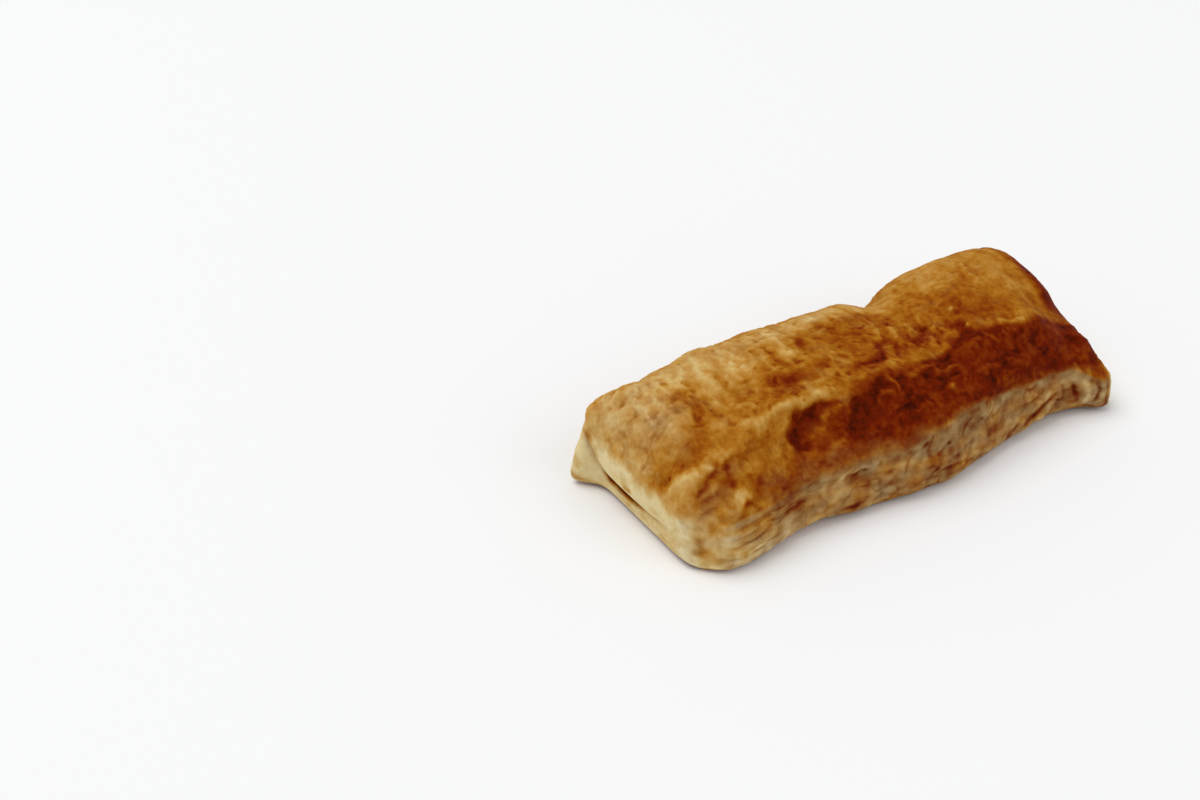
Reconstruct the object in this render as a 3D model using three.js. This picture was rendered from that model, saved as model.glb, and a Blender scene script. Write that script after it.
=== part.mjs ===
// A puff pastry sausage roll: an oblong of dough folded over its filling and baked shut.
// Frame: millimetres, +X along the roll, +Y towards its folded back, +Z up, origin under
// the middle of the roll's bounding box. The seam side, with its pale stack of baked
// layers, faces -Y. The end with the open slit and the ear of dough faces -X.
import * as THREE from "three";
import { mergeVertices } from "three/addons/utils/BufferGeometryUtils.js";

// ---- Driving sizes --------------------------------------------------------------
const LENGTH = 124; // end face to end face, without the ear and the tail
const WIDTH = 49; // across the base, on average
const CROWN = 26.5; // base to the top of the crust, on average
const SEAM_TOP = 16.5; // base to the upper edge of the seam side, on average

const CELLS_LONG = 62; // grid cells along, across and up
const CELLS_ACROSS = 24;
const CELLS_UP = 12;

// ---- Small shaping functions ----------------------------------------------------
const { clamp, lerp } = THREE.MathUtils;

// 0 before `from`, 1 after `to`, with an even ease between them.
const ease = (t, from, to) => THREE.MathUtils.smoothstep(t, from, to);

// 1 at `centre`, falling to about a third at `reach` either side.
const bump = (t, centre, reach) => Math.exp(-(((t - centre) / reach) ** 2));

// A smooth curve through a few [place, value] pairs, as a function of the place.
function curve(points) {
  const last = points.length - 1;
  const slope = points.map((point, i) => {
    const before = points[Math.max(i - 1, 0)];
    const after = points[Math.min(i + 1, last)];
    return (after[1] - before[1]) / (after[0] - before[0]);
  });
  return (place) => {
    const t = clamp(place, points[0][0], points[last][0]);
    const i = Math.max(points.findIndex((point) => point[0] >= t), 1);
    const [from, low] = points[i - 1];
    const [to, high] = points[i];
    const span = to - from;
    const s = (t - from) / span;
    const e = s * s * (3 - 2 * s);
    const bend = s * (1 - s) * ((1 - s) * slope[i - 1] - s * slope[i]) * span;
    return lerp(low, high, e) + bend;
  };
}

// Even random numbers from 0 to 1 on a whole-number grid, the same in every run.
function grain(i, j, seed) {
  const mixed = Math.sin(i * 127.1 + j * 311.7 + seed * 74.7) * 43758.5453;
  return mixed - Math.floor(mixed);
}

// Smooth unevenness between -1 and 1, about one lump to each unit of u and v.
function lumps(u, v, seed) {
  const i = Math.floor(u);
  const j = Math.floor(v);
  const s = ease(u - i, 0, 1);
  const t = ease(v - j, 0, 1);
  const lower = lerp(grain(i, j, seed), grain(i + 1, j, seed), s);
  const upper = lerp(grain(i, j + 1, seed), grain(i + 1, j + 1, seed), s);
  return 2 * lerp(lower, upper, t) - 1;
}

// A mound over a turned ellipse in plan: `turn` is in degrees from +X towards +Y.
function mound(x, y, { at, reach, up, turn = 0 }) {
  const angle = THREE.MathUtils.degToRad(turn);
  const dx = x - at[0];
  const dy = y - at[1];
  const along = dx * Math.cos(angle) + dy * Math.sin(angle);
  const across = dy * Math.cos(angle) - dx * Math.sin(angle);
  return up * Math.exp(-((along / reach[0]) ** 2) - (across / reach[1]) ** 2);
}

const mounds = (x, y, list) => list.reduce((sum, m) => sum + mound(x, y, m), 0);

// ---- Plan and height along the roll ---------------------------------------------
// Each curve gives, at x, how far that line lies from its average place.
const FRONT_FOOT = curve([
  [-62, -1.5], [-53, 0.6], [-45, 0.4], [-32, -1.6], [-18, -0.5], [6, 2.3],
  [27, -1.4], [45, -3.2], [51, -2.6], [57, 0.3], [62, 0.6],
]); // out from the seam side
const BACK_FOOT = curve([
  [-62, -1.6], [-48, 0.2], [-28, 0.9], [2, 0.4], [16, -1.8], [30, 0.2],
  [48, 0.9], [62, -0.6],
]); // out from the back
const CROWN_RISE = curve([
  [-62, -5.8], [-55, -2.8], [-45, -0.9], [-30, 0.5], [4, 0.8], [17, -0.6],
  [32, 1.1], [50, 0.6], [62, -0.8],
]);
const SEAM_RISE = curve([
  [-62, -2.5], [-40, -1], [-20, -1], [0, 0.5], [25, 3], [40, 2], [50, 0.5], [62, -1.8],
]);

// From the seam edge at -1 to the back edge at 1, as a share of the rise to the crown.
const ACROSS = curve([
  [-1, 0], [-0.78, 0.33], [-0.5, 0.74], [-0.2, 0.93], [0.2, 1], [0.65, 0.97], [1, 0.84],
]);

// ---- The block before shaping ---------------------------------------------------
// How far each upper edge is rounded inwards and downwards.
const ROUND_ABOVE = {
  seam: { side: 3.4, up: 3.2 },
  back: { side: 8.5, up: 9 },
  near: { side: 8, up: 7.5 },
  far: { side: 5, up: 5.5 },
};
const ROUND_BELOW = { side: 3, up: 2.2 };

// A point of the 2 x 2 x 2 box as shares of the rounded block: `u` along, `v` across
// from seam to back, both from -1 to 1, and `share` up from 0 to 1.
function roundedBlock(a, b, c) {
  const upper = ease(c, -1, 0.1);
  const end = a < 0 ? ROUND_ABOVE.near : ROUND_ABOVE.far;
  const backward = ease(b, -0.8, 0.8);
  const toEnd = ease(Math.abs(a), 0.75, 1);
  const sideUp = lerp(ROUND_ABOVE.seam.up, ROUND_ABOVE.back.up, backward);
  const radius = [
    lerp(ROUND_BELOW.side, end.side, upper),
    lerp(ROUND_BELOW.side, b < 0 ? ROUND_ABOVE.seam.side : ROUND_ABOVE.back.side, upper),
    c < 0 ? ROUND_BELOW.up : lerp(sideUp, end.up, toEnd),
  ];
  const half = [LENGTH / 2, WIDTH / 2, CROWN / 2];
  const box = [a, b, c].map((s, i) => s * half[i]);
  const core = box.map((s, i) => clamp(s, radius[i] - half[i], half[i] - radius[i]));
  const away = box.map((s, i) => (s - core[i]) / radius[i]);
  const far = Math.hypot(...away) || 1;
  const stretch = Math.max(...away.map(Math.abs)) / far;
  const [x, y, z] = core.map((s, i) => s + radius[i] * away[i] * stretch);
  return { u: x / half[0], v: y / half[1], share: (z / half[2] + 1) / 2 };
}

// ---- Crust ----------------------------------------------------------------------
const CRUST_MOUNDS = [
  { at: [-50, 9], reach: [11, 12], up: 2.2 }, // the big blister at the slit end
  { at: [-53, -14], reach: [8, 5], up: 1.3 }, // the smaller one at its seam corner
  { at: [-40, 8], reach: [2.8, 14], up: -1.1, turn: -8 }, // creases across the roll
  { at: [-31, 10], reach: [2.8, 11], up: -0.8, turn: -14 },
  { at: [-10, 17], reach: [2.8, 9], up: -1.1, turn: -18 },
  { at: [-36, 7], reach: [2.4, 11], up: 0.6, turn: -10 },
  { at: [-20, 4], reach: [8, 8], up: 0.8 },
  { at: [-28, -7], reach: [11, 2.2], up: 1.0, turn: 4 }, // pale crest of the ridge
  { at: [-26, -13], reach: [5, 3.2], up: -2.2, turn: 6 }, // hollow below it
  { at: [-7, -15], reach: [9, 4], up: -1.2, turn: 8 },
  { at: [16, -12], reach: [6, 3.5], up: -0.9 },
  { at: [18, 20], reach: [5.5, 9], up: -3.3, turn: -12 }, // waist
  { at: [24, -2], reach: [2.4, 6], up: -0.6, turn: -10 },
  { at: [40, 8], reach: [14, 10], up: 0.7 },
  { at: [60, -17], reach: [4.5, 4.5], up: 2.8 }, // knuckle over the tail
];
const FAR_SLOPE = 8.5; // the far end drops this far towards its seam corner
const BAKED_LUMPS = [
  { up: 0.75, pitch: [6.5, 9.5], seed: 3 },
  { up: 0.4, pitch: [4.4, 5.2], seed: 8 },
];

function crustHeight(x, y, v) {
  const seam = SEAM_TOP + SEAM_RISE(x);
  const crown = CROWN + CROWN_RISE(x);
  let z = lerp(seam, crown, ACROSS(v));
  z -= FAR_SLOPE * ease(x, 44, 62) * ease(-v, -0.5, 0.45) * ease(v, -1.6, -0.6);
  z += mounds(x, y, CRUST_MOUNDS);
  const onTop = ease(v, -0.9, -0.6);
  for (const { up, pitch, seed } of BAKED_LUMPS) {
    z += onTop * up * lumps((x - 0.2 * y) / pitch[0], y / pitch[1], seed);
  }
  return z;
}

// ---- Underside ------------------------------------------------------------------
// The roll rests on one flat face with four corners. All round it the dough curves up
// off the tray, a little more where an edge has curled.
const FLAT = { u: 0.74, v: 0.66 }; // the face's half length and half width, as shares
const FLAT_BOW = 0.012; // its edges bow in by this share, which leaves the corners furthest out
const RIM_RISE = 0.5; // from the flat face to the edge of the underside
const RIM_CURVE = 0.7; // under 1, the rise is steepest where it starts
const LIFTS = [
  { at: [42, -24], reach: [10, 5], up: 2.4 }, // seam edge curled off the tray
  { at: [-30, -24], reach: [9, 4], up: 1.5 },
  { at: [2, 27], reach: [16, 5], up: 0.9 },
];

// How far outside the flat face a point of the underside lies: 0 on it, 1 at the edge.
function outsideFlat(u, v) {
  const past = (s, half) => Math.max(Math.abs(s) - half, 0) / (1 - half);
  return Math.min(Math.hypot(past(u, FLAT.u), past(v, FLAT.v)), 1);
}

function footHeight(x, y, outside) {
  return RIM_RISE * outside ** RIM_CURVE + ease(outside, 0, 0.5) * mounds(x, y, LIFTS);
}

// ---- Ends -----------------------------------------------------------------------
// The slit lies between the folded-over top and the bottom sheet of dough. One row of
// the grid is laid on its line and pushed in by `depth`. The rows beside it are its lips,
// each `gap` above or below the line, and `lip` is how far the upper one overhangs.
const SLIT_ROW = 4;
const NEAR = {
  sign: -1,
  line: curve([[-24, 6.5], [-8, 6.2], [6, 5.4], [13, 5.6], [17, 8.8], [20, 12.6], [24, 15]]),
  gap: curve([[-24, 0.4], [-4, 0.6], [4, 1.3], [13, 1.6], [18, 1.1], [24, 0.6]]),
  depth: curve([[-24, 0], [-10, 0.4], [-3, 2.2], [6, 5.5], [16, 6], [21, 3], [24, 0.6]]),
  lip: curve([[-24, 0], [-12, 0.5], [4, 1.7], [14, 1.5], [19, 0], [24, 0]]),
  horn: { y: 22, reach: 4.6, foot: 6.2, top: 3.8 }, // the ear at the back corner
};
const FAR = {
  sign: 1,
  line: curve([[-24, 7], [-8, 7.6], [6, 9], [16, 9.4], [24, 9]]),
  gap: curve([[-24, 0.4], [2, 1.2], [14, 1], [24, 0.6]]),
  depth: curve([[-24, 0], [-14, 1.6], [2, 4.8], [14, 3.6], [24, 0.6]]),
  lip: curve([[-24, 0], [-10, 0.6], [6, 1.4], [18, 0.6], [24, 0]]),
  horn: { y: -21, reach: 4.2, foot: 1.3, top: -1.2 }, // the tail at the seam corner
};
const END_ZONE = 13; // the ends' own shaping fades out over this length

function shapeEnd(point, end, { row, v, share, crust, onFace }) {
  const { x, y } = point;
  const near = ease(end.sign * x, LENGTH / 2 - END_ZONE, LENGTH / 2 - 1);
  if (near === 0 || row === 0 || row === CELLS_UP) return;
  const line = end.line(y);
  const slitShare = SLIT_ROW / CELLS_UP;
  const below = (share / slitShare) * line;
  const above = lerp(line, crust, (share - slitShare) / (1 - slitShare));
  point.z = lerp(point.z, share < slitShare ? below : above, near);
  if (!onFace) return;
  const depth = end.depth(y) * (1 - ease(Math.abs(v), 0.84, 0.97));
  const open = ease(depth, 0, 1.5);
  if (row === SLIT_ROW) point.x -= end.sign * depth;
  if (row === SLIT_ROW + 1) point.z = lerp(point.z, line + end.gap(y), open);
  if (row === SLIT_ROW - 1) point.z = lerp(point.z, line - end.gap(y), open);
  if (row > SLIT_ROW) point.x += end.sign * end.lip(y) * (1 - ease(share, 0.5, 0.85));
}

function pullHorn(point, { sign, horn }) {
  const out = lerp(horn.foot, horn.top, ease(point.z, 2, 17));
  const zone = ease(sign * point.x, LENGTH / 2 - 14, LENGTH / 2 - 4);
  point.x += sign * out * bump(point.y, horn.y, horn.reach) * zone;
}

// ---- Sides ----------------------------------------------------------------------
const SEAM_LEAN = 2.6; // the upper edge of the seam side lies this much further in
const SEAM_SWELL = 0.9;
const LAYER_DEPTH = 0.42; // relief of the stacked layers

// Layers stand out and sink in row by row, most of all at the seam side's near corner.
function layerRelief(row, x) {
  const turn = row % 2 === 0 ? 1 : -1;
  const near = lerp(0.3, 1, ease(-x, 34, 50) * (1 - ease(-x, 56, 62)));
  const patch = 0.5 + 0.5 * lumps(x / 9, row * 0.9, 5);
  return LAYER_DEPTH * turn * near * patch + 0.5 * lumps(x / 6, row / 2.5, 11);
}

function leanSeamSide(point, v) {
  const rise = clamp(point.z / SEAM_TOP, 0, 1);
  const lean = SEAM_LEAN * rise ** 1.4 - SEAM_SWELL * bump(rise, 0.4, 0.28);
  point.y += lean * ease(-v, 0.45, 0.95);
}

function stackLayers(point, row) {
  const below = 1 - ease(point.z / SEAM_TOP, 0.8, 1.05);
  const away = 1 - ease(Math.abs(point.x), LENGTH / 2 - 9, LENGTH / 2 - 2);
  point.y -= layerRelief(row, point.x) * below * away;
}

function swellBack(point, v) {
  const rise = clamp(point.z / CROWN, 0, 1);
  const swell = 0.9 * bump(rise, 0.35, 0.25) - 0.5 * bump(rise, 0.12, 0.1);
  point.y += (swell + 0.5 * lumps(point.x / 8, point.z / 6, 17)) * ease(v, 0.6, 1);
}

// The near corner of the seam side is rounder than the others.
const NEAR_CORNER = 1.9;

function roundNearCorner(point, v) {
  const zone = ease(-point.x, LENGTH / 2 - 8, LENGTH / 2 + 1) * ease(-v, 0.7, 1);
  point.x += NEAR_CORNER * zone;
  point.y += NEAR_CORNER * zone;
}

// ---- One grid point of the roll -------------------------------------------------
function shape(a, b, c) {
  const row = Math.round(((c + 1) / 2) * CELLS_UP);
  const { u, v, share } = roundedBlock(a, b, c);
  const outside = outsideFlat(u, v);
  const straight = row === 0 ? 1 - outside : 0;
  const bow = 1 + FLAT_BOW * straight * (u / FLAT.u) ** 2;
  const x = (u * LENGTH) / 2 * (1 + FLAT_BOW * straight * (v / FLAT.v) ** 2);
  const front = -WIDTH / 2 - FRONT_FOOT(x);
  const back = WIDTH / 2 + BACK_FOOT(x);
  const y = lerp(lerp(front, back, (v + 1) / 2), (v * WIDTH) / 2 * bow, straight);

  const crust = crustHeight(x, y, v);
  const foot = footHeight(x, y, outside);
  const point = new THREE.Vector3(x, y, lerp(foot, crust, share));

  const inner = row > 0 && row < CELLS_UP;
  leanSeamSide(point, v);
  if (inner && b === -1) stackLayers(point, row);
  if (inner) swellBack(point, v);
  const end = a < 0 ? NEAR : FAR;
  shapeEnd(point, end, { row, v, share, crust, onFace: Math.abs(a) === 1 });
  pullHorn(point, end);
  roundNearCorner(point, v);
  return point;
}

// ---- The solid ------------------------------------------------------------------
function pastryGeometry() {
  const box = new THREE.BoxGeometry(2, 2, 2, CELLS_LONG, CELLS_ACROSS, CELLS_UP);
  box.deleteAttribute("normal");
  box.deleteAttribute("uv");
  const geometry = mergeVertices(box, 1e-4);
  const position = geometry.getAttribute("position");
  for (let i = 0; i < position.count; i += 1) {
    const p = shape(position.getX(i), position.getY(i), position.getZ(i));
    position.setXYZ(i, p.x, p.y, p.z);
  }
  geometry.computeBoundingBox();
  const { min, max } = geometry.boundingBox;
  geometry.translate(-(min.x + max.x) / 2, -(min.y + max.y) / 2, -min.z);
  geometry.computeVertexNormals();
  return geometry;
}

const crustMaterial = new THREE.MeshStandardMaterial({
  color: new THREE.Color("#b9772f"),
  roughness: 0.55,
  metalness: 0,
});

const pastry = new THREE.Mesh(pastryGeometry(), crustMaterial);
pastry.name = "pastry";

const sausageRoll = new THREE.Group();
sausageRoll.add(pastry);

export default sausageRoll;
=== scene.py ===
# %% [markdown]
# # A sausage roll in puff pastry
#
# A sausage roll is one sheet of laminated dough folded over its filling. The folded
# top bakes brown and blisters, and the long seam side, where the cut layers lift
# apart, stays pale. This lesson dresses the plain solid of such a roll: first its
# relief, then where the oven browned it, and last the crust's material.
#
# The frame comes first. It holds the plain solid at its real size, in metres, and
# everything here is made round it. The roll lies along X, its seam side faces -Y and
# its open end faces -X.

import math

import bpy
import numpy as np
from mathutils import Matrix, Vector, noise


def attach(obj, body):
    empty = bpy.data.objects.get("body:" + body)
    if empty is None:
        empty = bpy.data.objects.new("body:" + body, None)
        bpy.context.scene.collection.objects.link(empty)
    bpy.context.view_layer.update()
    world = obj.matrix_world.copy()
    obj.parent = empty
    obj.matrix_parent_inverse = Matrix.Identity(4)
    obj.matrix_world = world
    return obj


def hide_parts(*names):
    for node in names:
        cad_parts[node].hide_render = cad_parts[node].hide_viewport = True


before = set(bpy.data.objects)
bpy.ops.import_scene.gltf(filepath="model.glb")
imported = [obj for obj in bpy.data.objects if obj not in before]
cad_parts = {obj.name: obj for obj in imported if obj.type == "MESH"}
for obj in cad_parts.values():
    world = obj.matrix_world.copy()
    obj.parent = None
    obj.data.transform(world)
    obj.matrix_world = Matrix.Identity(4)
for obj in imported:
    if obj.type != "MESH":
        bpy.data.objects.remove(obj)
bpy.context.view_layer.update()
MM = 0.001

# %% [markdown]
# ## Camera, floor and light
#
# The camera stands off the seam side's near corner and looks down on the roll. It is
# placed by the way it looks, so that the numbers stay readable: a turn round the
# upright axis, a tilt down, and a place.

# %% Camera
VIEW_TURN = math.radians(-32.4)  # from looking along +Y, towards +X
VIEW_DOWN = math.radians(36.0)
CAMERA_AT = Vector((-236.5, -261.1, 264.4)) * MM
LENS = 54.0  # millimetres
SENSOR = 36.0  # millimetres

camera_data = bpy.data.cameras.new("camera")
camera_data.lens = LENS
camera_data.sensor_width = SENSOR
camera_data.clip_start = 0.01
camera = bpy.data.objects.new("camera", camera_data)
bpy.context.scene.collection.objects.link(camera)
camera.location = CAMERA_AT
camera.rotation_euler = (math.pi / 2 - VIEW_DOWN, 0, VIEW_TURN)
bpy.context.scene.camera = camera
print("camera", [round(c / MM) for c in camera.location], "mm")

# %% [markdown]
# Food could be lit by a hard lamp, but egg-washed crust would glare. One broad, soft
# light from above and a little behind it shows the wrinkles and blisters by their
# shading alone. A weak light from in front and a pale room fill the shadows.


# %% Floor and lights
ROLL_MIDDLE = Vector((0, 0, 13)) * MM
ROOM_GLOW = 0.53


def plain_material(name, color, roughness):
    """A dull material of one colour, for what isn't part of the roll."""
    material = bpy.data.materials.new(name)
    material.use_nodes = True
    shader = material.node_tree.nodes["Principled BSDF"]
    shader.inputs["Base Color"].default_value = (*color, 1)
    shader.inputs["Roughness"].default_value = roughness
    shader.inputs["Specular IOR Level"].default_value = 0.1
    return material


def soft_light(name, place, size, power):
    """A square light of that size in metres, aimed at the middle of the roll."""
    data = bpy.data.lights.new(name, "AREA")
    data.size = size
    data.energy = power
    light = bpy.data.objects.new(name, data)
    light.location = place
    aim = ROLL_MIDDLE - light.location
    light.rotation_euler = aim.to_track_quat("-Z", "Y").to_euler()
    bpy.context.scene.collection.objects.link(light)


bpy.ops.mesh.primitive_plane_add(size=8, location=(0, 0, 0))
floor = bpy.context.object
floor.name = "floor"
floor.data.materials.append(plain_material("floor_paint", (0.92, 0.925, 0.93), 0.9))

soft_light("key", (-1.3, 1.2, 4.0), 3.2, 100)
soft_light("fill", (1.5, -2.4, 2.4), 2.5, 20)

world = bpy.data.worlds.new("studio")
world.use_nodes = True
glow = world.node_tree.nodes["Background"]
glow.inputs["Color"].default_value = (1.0, 1.0, 1.0, 1)
glow.inputs["Strength"].default_value = ROOM_GLOW
bpy.context.scene.world = world
bpy.context.scene.view_settings.view_transform = "Standard"
print("lights", [light.name for light in bpy.data.lights])

# %% [markdown]
# ## From the plain solid to a smooth skin
#
# Dough has no flat facets. The solid's own mesh could be rebuilt by a voxel remesh,
# but that blurs the slit and the layers. Its triangles were made from a grid, so it
# is better to join them back into four-sided faces and subdivide those: the finer
# grid still runs along the layers, and each later step can follow it.

# %% A smooth copy of the solid
SAME_POINT = 0.001 * MM  # corners closer than this are joined
SUBDIVISIONS = 2

roll = bpy.data.objects.new("roll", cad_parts["pastry"].data.copy())
roll.data.materials.clear()
bpy.context.scene.collection.objects.link(roll)


def pick_only(piece):
    """Makes the piece the only selected and the active object."""
    bpy.ops.object.select_all(action="DESELECT")
    bpy.context.view_layer.objects.active = piece
    piece.select_set(True)


pick_only(roll)
bpy.ops.object.mode_set(mode="EDIT")
bpy.ops.mesh.select_all(action="SELECT")
bpy.ops.mesh.remove_doubles(threshold=SAME_POINT)
bpy.ops.mesh.tris_convert_to_quads(face_threshold=math.pi, shape_threshold=math.pi)
bpy.ops.object.mode_set(mode="OBJECT")
finer = roll.modifiers.new("finer", "SUBSURF")
finer.levels = finer.render_levels = SUBDIVISIONS
bpy.ops.object.modifier_apply(modifier=finer.name)
print("skin", len(roll.data.vertices), "points")

# %% [markdown]
# The relief could be carved with sculpt brushes, but those need a hand and a window.
# Here each brush stroke is a rule instead: a mound or a groove at a place given in
# millimetres, or an unevenness of a certain size. These helpers read and move the
# points of the skin. Places are always read from the smooth skin as it was before
# any stroke, so that no stroke shifts the place of the next one.


# %% Read and move the points of the skin
def points_of(piece):
    """The piece's points in millimetres."""
    flat = np.zeros(len(piece.data.vertices) * 3)
    piece.data.vertices.foreach_get("co", flat)
    return flat.reshape(-1, 3) / MM


def normals_of(piece):
    """The outward direction at each point."""
    flat = np.zeros(len(piece.data.vertices) * 3)
    piece.data.vertices.foreach_get("normal", flat)
    return flat.reshape(-1, 3)


def raise_skin(piece, height):
    """Moves every point outwards by its height in millimetres, but not into the floor."""
    moved = points_of(piece) + normals_of(piece) * height[:, None]
    moved[:, 2] = np.maximum(moved[:, 2], 0)
    piece.data.vertices.foreach_set("co", (moved * MM).ravel())
    piece.data.update()


home = points_of(roll)
x, y, z = home.T
print("home", home.min(0).round(1), "to", home.max(0).round(1), "mm")


# %% Shapes that rise and fall
def ease(t, low, high):
    """0 below low, 1 above high, with an even ease between."""
    s = np.clip((t - low) / (high - low), 0, 1)
    return s * s * (3 - 2 * s)


def fade(t, low, high):
    """1 below low, 0 above high."""
    return 1 - ease(t, low, high)


def bump(t, centre, reach):
    """1 at the centre, about a third at the reach either side."""
    return np.exp(-(((t - centre) / reach) ** 2))


print("ease", ease(0.3, 0, 1).round(2), "fade", fade(0.3, 0, 1).round(2))
print("bump at its reach", bump(1.0, 0, 1).round(2))

# %% Random unevenness, always the same
LUMP_SHIFT = np.array((13.7, 7.3, 3.1))  # moves each seed to other lumps


def uneven(size, seed, octaves=1):
    """Smooth random values, about -1 to 1, with lumps of that size in millimetres."""
    spread = home / np.array(size) + seed * LUMP_SHIFT
    if octaves == 1:
        return np.array([noise.noise(p) for p in spread])
    return np.array([noise.fractal(p, 1.0, 2.0, octaves) for p in spread])


ragged = [uneven(4.5, seed, octaves=2) for seed in (31, 32)]
fine_ragged = [uneven(1.7, seed) for seed in (33, 34)]
print("ragged", ragged[0].min().round(2), "to", ragged[0].max().round(2))

# %% [markdown]
# The skin has different zones: the browned top, the seam side with its layers, the
# two ends, the folded back and the underside. The line where the brown top gives way
# to the pale seam side runs up and down along the roll, and so does the upper edge
# of the dark band above it. Each later step is masked by these.

# %% Zones of the skin
SEAM_EDGE = [  # height at which the brown ends, along the roll
    (-60, 14.5), (-50, 13.8), (-46, 16.2), (-43, 13.6), (-36, 12.4), (-30, 13.0),
    (-22, 14.4), (-10, 15.0), (0, 15.6), (6, 16.8), (14, 17.2), (22, 16.4),
    (32, 14.9), (42, 13.9), (54, 13.0), (60, 10.6), (64, 9.0),
]
BAND_EDGE = [  # how far back the dark band reaches, along the roll
    (-30, -11.0), (-20, -9.8), (-9, -10.8), (-5, -9.8), (0, -9.4), (6, -10.6),
    (12, -10.8), (16, -9.4), (20, -8.6), (28, -7.6), (35, -8.4), (43, -10.8), (50, -9.6),
    (64, -9.2),
]


def along_roll(table):
    """A height or place that changes along the roll, read off for each point."""
    places, values = zip(*table)
    return np.interp(x, places, values)


facing_x, facing_y, facing_up = normals_of(roll).T
top = ease(facing_up, 0.25, 0.7)
seam = fade(facing_y, -0.75, -0.35) * fade(y, -16, -8) * (1 - top)
back = ease(facing_y, 0.35, 0.75) * ease(y, 8, 16) * (1 - top)
near_end = fade(facing_x, -0.8, -0.5) * fade(x, -57, -50) * (1 - top)
far_end = ease(facing_x, 0.5, 0.8) * ease(x, 50, 58) * (1 - top)
under = fade(facing_up, -0.9, -0.6) * fade(z, 0.5, 2.5)
on_top = ease(z, 10, 13)
on_seam = fade(y, -16, -12) * (1 - top)
print("top", int(top.sum()), "seam side", int(seam.sum()), "underside", int(under.sum()))

# %% Places with a ragged edge
u_top = x + 0.9 * ragged[0] + 0.2 * fine_ragged[0]  # along the roll
v_top = y + 0.9 * ragged[1] + 0.2 * fine_ragged[1]  # across it
z_side = z + 0.6 * ragged[1] + 0.2 * fine_ragged[1]  # up its sides
above_seam = z_side - along_roll(SEAM_EDGE)
print("highest above the seam's edge", above_seam.max().round(1), "mm")

# %% [markdown]
# ## Creases, ridges and blisters
#
# As the roll rises, steam lifts blisters in the top sheet, and the dough wrinkles
# between them. A crest browns less than the trough beside it here, because the sheet
# is stretched thin over it. So each stroke gives both a height and a change of
# browning. They could be bump in the material alone, but a real crest also breaks the
# outline and shades its own trough. The near end carries one big blister, with a
# smaller one by the corner.


# %% Strokes at named places
TAPER = 0.22  # share of a stroke's length over which each end dies away


def spot(u, v, at, reach, turn=0):
    """1 at a place, fading out over an ellipse that is turned by some degrees."""
    angle = math.radians(turn)
    du = u - at[0]
    dv = v - at[1]
    along = du * math.cos(angle) + dv * math.sin(angle)
    across = dv * math.cos(angle) - du * math.sin(angle)
    return np.exp(-((along / reach[0]) ** 2) - (across / reach[1]) ** 2)


def stroke(u, v, path, width):
    """1 along a path, fading out over the width and towards both of its ends."""
    path = np.array(path, float)
    legs = np.diff(path, axis=0)
    lengths = np.hypot(*legs.T)
    begun = np.concatenate(([0], np.cumsum(lengths)))
    nearest = np.full(len(u), np.inf)
    travelled = np.zeros(len(u))
    for start, leg, length, before in zip(path, legs, lengths, begun):
        along = ((u - start[0]) * leg[0] + (v - start[1]) * leg[1]) / length**2
        along = np.clip(along, 0, 1)
        away = np.hypot(u - start[0] - along * leg[0], v - start[1] - along * leg[1])
        closer = away < nearest
        nearest = np.where(closer, away, nearest)
        travelled = np.where(closer, before + along * length, travelled)
    share = travelled / begun[-1]
    tapered = ease(share, 0, TAPER) * fade(share, 1 - TAPER, 1)
    return tapered * bump(nearest, 0, width)


def draw(u, v, lines, spots):
    """Height in millimetres and change of tone that strokes and spots make: mostly browning,
    with painted shade and painted highlights at a few places.
    """
    height = np.zeros(len(u))
    tone = np.zeros(len(u))
    for path, width, up, darker in lines:
        shape = stroke(u, v, path, width)
        height += up * shape
        tone += darker * shape
    for at, reach, turn, up, darker in spots:
        shape = spot(u, v, at, reach, turn)
        height += up * shape
        tone += darker * shape
    return height, tone


print("spot at its reach", spot(1.0, 0.0, (0, 0), (1, 1)).round(2))

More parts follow.
